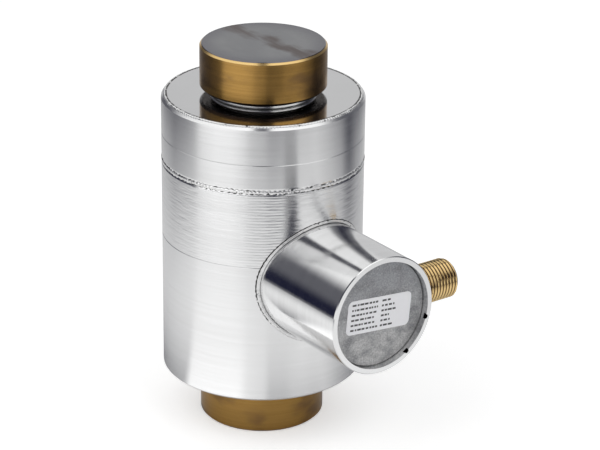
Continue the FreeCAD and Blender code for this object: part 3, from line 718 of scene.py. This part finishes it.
# The plainer finishes: kind, name, colour, roughness and the nodes that have it.
PLAIN_FINISHES = (
    # painted shade: the column's steel is made dark grey, for the shaded gap under the button
    # where its neck shows
    (plain_metal, "column_steel", grey(0.16), 0.4, ["load_column"]),
    (film_finish, "label_film", (0.97, 0.97, 1.0, 1), 0.4, ["label"]),
    (film_finish, "seal_rubber", grey(0.02), 0.6, ["cover_seal"]),
    (film_finish, "board_laminate", (0.02, 0.14, 0.05, 1), 0.4, ["trim_board", "terminal_ring"]),
    (film_finish, "insert_plastic", grey(0.025), 0.5, ["connector_insert"]),
    (film_finish, "gauge_film", (0.55, 0.26, 0.05, 1), 0.4, numbered("strain_gauge", 4)),
    (film_finish, "wire_sheath", grey(0.5), 0.5, numbered("gauge_wire", 4)),
    (film_finish, "lead_sheath", grey(0.05), 0.5, ["signal_lead", "connector_lead"]),
    (film_finish, "resistor_body", grey(0.03), 0.5, numbered("trim_resistor", 4)),
    (plain_metal, "plated_brass", (0.6, 0.55, 0.4, 1), 0.25, numbered("board_pillar", 3)),
    (plain_metal, "plated_steel", grey(0.5), 0.3, numbered("board_screw", 3)),
    (plain_metal, "contact_gold", (0.8, 0.55, 0.2, 1), 0.2, numbered("connector_pin", 6)),
)
for kind, name, colour, roughness, nodes in PLAIN_FINISHES:
    dress(kind(name, colour, roughness), *nodes)

brass = brass_finish("connector_brass")
dress(brass, "connector_shell")
barrel = threaded_barrel()
barrel.data.materials.append(brass.material)
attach(barrel, "root")
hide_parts("connector_shell")

for weld, edge, frost in ((seam_weld(), seam_edge, 0.2), (rim_weld(), rim_inner_shade, 0.2),
                          (lip_weld(), None, 0.0), (collar_weld(), collar_gap_shade, 0.55)):
    weld.data.materials.append(weld_finish(weld.name, edge, frost).material)
    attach(weld, "root")

rules = label_print()
rules.data.materials.append(film_finish("rule_ink", grey(0.07), 0.5).material)
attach(rules, "root")


# ---------------------------------------------------------------- camera and lamps

def look(target, azimuth, elevation, distance):
    """The place at a distance from a target, seen at an azimuth from -Y and an elevation."""
    a = math.radians(azimuth)
    e = math.radians(elevation)
    back = Vector((math.sin(a) * math.cos(e), -math.cos(a) * math.cos(e), math.sin(e)))
    return target + back * distance


def facing(place, target, roll=0.0):
    """A matrix at a place whose -Z axis looks at a target, rolled about that axis."""
    turned = (target - place).to_track_quat("-Z", "Y").to_matrix().to_4x4()
    return Matrix.Translation(place) @ turned @ Matrix.Rotation(roll, 4, "Z")


def camera():
    """The main camera: a long lens, a little above the cell and to the left of its tube.

    It is aimed at the load axis, and then slid across its own view. Gives its azimuth.
    """
    azimuth, elevation, roll = -36.35, 22.948, 0.668
    distance = 962.4 * MM
    slide = Vector((14.23 * MM, -3.557 * MM, 0))
    aim = Vector((0, 0, 80.31 * MM))
    matrix = facing(look(aim, azimuth, elevation, distance), aim, math.radians(roll))
    matrix.translation = matrix @ slide
    seen = placed("camera", bpy.data.cameras.new("camera"))
    seen.data.lens = 151.5
    seen.data.sensor_width = 36.0
    seen.data.clip_start = 0.05
    seen.data.clip_end = 20.0
    seen.matrix_world = matrix
    bpy.context.scene.camera = seen
    return azimuth


def softbox(name, azimuth, elevation, distance, side, glow):
    """A square area lamp that faces the middle of the cell; glow is its brightness as seen.

    The metal reflects the tent and not the lamp.
    """
    lamp = bpy.data.lights.new(name, "AREA")
    lamp.shape = "SQUARE"
    lamp.size = side
    lamp.energy = glow * math.pi * side * side
    middle = Vector((0, 0, 75 * MM))
    box = placed(name, lamp)
    box.matrix_world = facing(look(middle, azimuth, elevation, distance), middle)
    box.visible_glossy = False


# ---------------------------------------------------------------- the tent

# The tent's glow, as stops of (azimuth from the camera in degrees, level). NEAR, FAR and EDGE
# lie on the floor from the cell outwards, LINE is the horizon, and LOW, MIDDLE and HIGH are
# the sky. SHADE is a dark patch on the floor, to the right of the camera.
TENT_NEAR = ((-180, 0.62), (-128, 0.72), (-96, 0.88), (-72, 0.98), (-50, 1.0), (-30, 1.0),
             (-10, 0.96), (20, 0.95), (40, 0.98), (60, 0.90), (82, 0.76), (100, 0.60),
             (128, 0.58), (152, 0.58), (180, 0.62))
TENT_FAR = ((-180, 0.60), (-152, 0.52), (-128, 0.45), (-112, 0.32), (-96, 0.44), (-84, 0.57),
            (-72, 0.72), (-62, 0.82), (-50, 0.92), (-32, 0.88), (-23, 0.72), (-14, 0.60),
            (-5, 0.55), (22, 0.55), (31, 0.62), (40, 0.80), (58, 0.80), (71, 0.66), (82, 0.60),
            (95, 0.46), (103, 0.16), (109, 0.04), (114, 0.12), (126, 0.36), (152, 0.56),
            (180, 0.60))
TENT_EDGE = ((-180, 0.50), (-152, 0.30), (-130, 0.10), (-112, 0.05), (-90, 0.12), (-78, 0.32),
             (-66, 0.64), (-50, 0.84), (-32, 0.76), (-22, 0.56), (-12, 0.38), (2, 0.26),
             (14, 0.30), (24, 0.42), (38, 0.54), (56, 0.60), (72, 0.50), (84, 0.28), (98, 0.10),
             (128, 0.04), (150, 0.20), (180, 0.50))
TENT_SHADE = ((22, 0.0), (26, 0.9), (30, 1.0), (36, 1.0), (39, 0.0))
TENT_LINE = ((-180, 0.64), (-156, 0.60), (-148, 0.02), (-78, 0.01), (-70, 1.40), (-20, 1.50),
             (-12, 0.90), (3, 0.60), (8, 0.02), (22, 0.02), (28, 0.20), (50, 0.22), (60, 0.40),
             (70, 0.30), (80, 0.15), (104, 0.04), (124, 0.04), (155, 0.60), (180, 0.64))
TENT_LOW = ((-180, 0.64), (-160, 0.60), (-150, 0.30), (-145, 0.12), (-80, 0.12),
            (-68, 0.16), (-28, 0.16), (-18, 0.05), (17, 0.05), (24, 0.95), (76, 0.95),
            (88, 0.25), (97, 0.16), (104, 0.04), (116, 0.04), (124, 0.13), (145, 0.20),
            (155, 0.60), (180, 0.64))
TENT_MIDDLE = ((-180, 0.95), (-158, 1.0), (-153, 0.40), (-149, 0.03), (-143, 0.05), (-136, 1.0),
               (-12, 1.05), (-1, 0.06), (15, 0.06), (24, 1.10), (78, 1.05), (92, 0.50),
               (104, 0.15), (145, 0.15), (156, 0.64), (180, 0.95))
TENT_HIGH = ((-180, 0.95), (-20, 1.2), (-12, 0.12), (10, 0.12), (18, 1.2), (180, 0.95))

# Where each table takes over from the one before: on the floor between two distances from the
# load axis in metres, and in the sky between two elevations in degrees.
FLOOR_BANDS = ((0.13, 0.36, TENT_FAR), (0.342, 0.372, TENT_EDGE), (0.43, 0.56, TENT_LINE))
SKY_BANDS = ((4.0, 20.0, TENT_LOW), (29.0, 47.0, TENT_MIDDLE), (48.0, 58.0, TENT_HIGH))
# The dark patch is full between the two middle distances, and gone beyond the outer two.
SHADE_BAND = (0.20, 0.24, 0.286, 0.322)


def tent_glow(cloth, to_camera):
    """The colour of the tent by azimuth, by distance on the floor and by elevation above it."""
    bearing = cloth.calc("ARCTAN2", cloth.x, cloth.times(cloth.y, -1.0))
    turn = cloth.times(cloth.minus(bearing, math.radians(to_camera)), 1 / FULL_TURN)
    share = cloth.calc("FRACT", cloth.plus(turn, 0.5))
    radius = cloth.distance(cloth.x, cloth.y)
    rise = cloth.times(cloth.calc("ARCTAN2", cloth.z, radius), 180 / math.pi)
    ground = cloth.ramp(share, TENT_NEAR)
    for start, full, stops in FLOOR_BANDS:
        ground = cloth.mix(cloth.step(radius, start, full), ground, cloth.ramp(share, stops))
    start, full, fading, gone = SHADE_BAND
    shade = cloth.times(cloth.step(radius, gone, fading), cloth.step(radius, start, full),
                        cloth.ramp(share, TENT_SHADE))
    ground = cloth.mix(shade, ground, grey(0.0))
    sky = cloth.ramp(share, TENT_LINE)
    for start, full, stops in SKY_BANDS:
        sky = cloth.mix(cloth.step(rise, start, full), sky, cloth.ramp(share, stops))
    return cloth.mix(cloth.step(rise, 0.1, 0.5), ground, sky)


def tent(to_camera):
    """A graded tent round the set that only reflections see.

    A flat ring on the floor, from (inner, 0.4 mm) to (reach, 0.4 mm) in radius and height,
    meets a dome of (reach cos e, reach sin e) for elevations e up to 89.5 degrees.
    """
    inner, reach = 0.062, 0.9
    on_floor = [(radius, 0.4 * MM) for radius in np.linspace(inner, reach, 8)]
    rising = np.radians(np.linspace(0, 89.5, 24)[1:])
    dome = [(reach * math.cos(e), reach * math.sin(e)) for e in rising]
    piece = lathe("tent", on_floor + dome, around(96), closed_v=False)
    cloth = Finish("tent")
    cloth.set(Base_Color=grey(0.0), Specular_IOR_Level=0.0,
              Emission_Color=tent_glow(cloth, to_camera), Emission_Strength=1.0)
    piece.data.materials.append(cloth.material)
    piece.visible_camera = False
    piece.visible_diffuse = False
    piece.visible_shadow = False


# ---------------------------------------------------------------- the studio

def white_floor():
    """A white floor that also glows a little to the camera, so that it meets the backdrop."""
    half = 3.0
    glow = 0.45
    corners = [[(-half, -half, 0), (half, -half, 0)], [(-half, half, 0), (half, half, 0)]]
    piece = surface("floor", np.array(corners), closed_u=False)
    paint = Finish("floor")
    seen = paint.add("ShaderNodeLightPath").outputs["Is Camera Ray"]
    paint.set(Base_Color=grey(0.88), Roughness=0.9, Emission_Color=grey(1.0),
              Emission_Strength=paint.times(seen, glow))
    piece.data.materials.append(paint.material)


def white_world():
    """A world that is white to the camera and in reflections, and half as bright as a lamp."""
    world = bpy.data.worlds.new("studio")
    world.use_nodes = True
    nodes = Nodes(world.node_tree)
    rays = nodes.add("ShaderNodeLightPath").outputs
    seen = nodes.calc("MAXIMUM", rays["Is Camera Ray"], rays["Is Glossy Ray"])
    seen = nodes.calc("MAXIMUM", seen, rays["Is Transmission Ray"])
    background = world.node_tree.nodes["Background"]
    background.inputs["Color"].default_value = (1, 1, 1, 1)
    nodes.feed(background.inputs["Strength"], nodes.between(seen, 0.5, 1.0))
    bpy.context.scene.world = world


white_floor()
white_world()
to_camera = camera()
softbox("key_light", to_camera - 48, elevation=50, distance=1.5, side=1.2, glow=1.3)
softbox("fill_light", to_camera + 44, elevation=45, distance=1.6, side=1.0, glow=1.1)
tent(to_camera)
scene = bpy.context.scene
scene.view_settings.view_transform = "Standard"
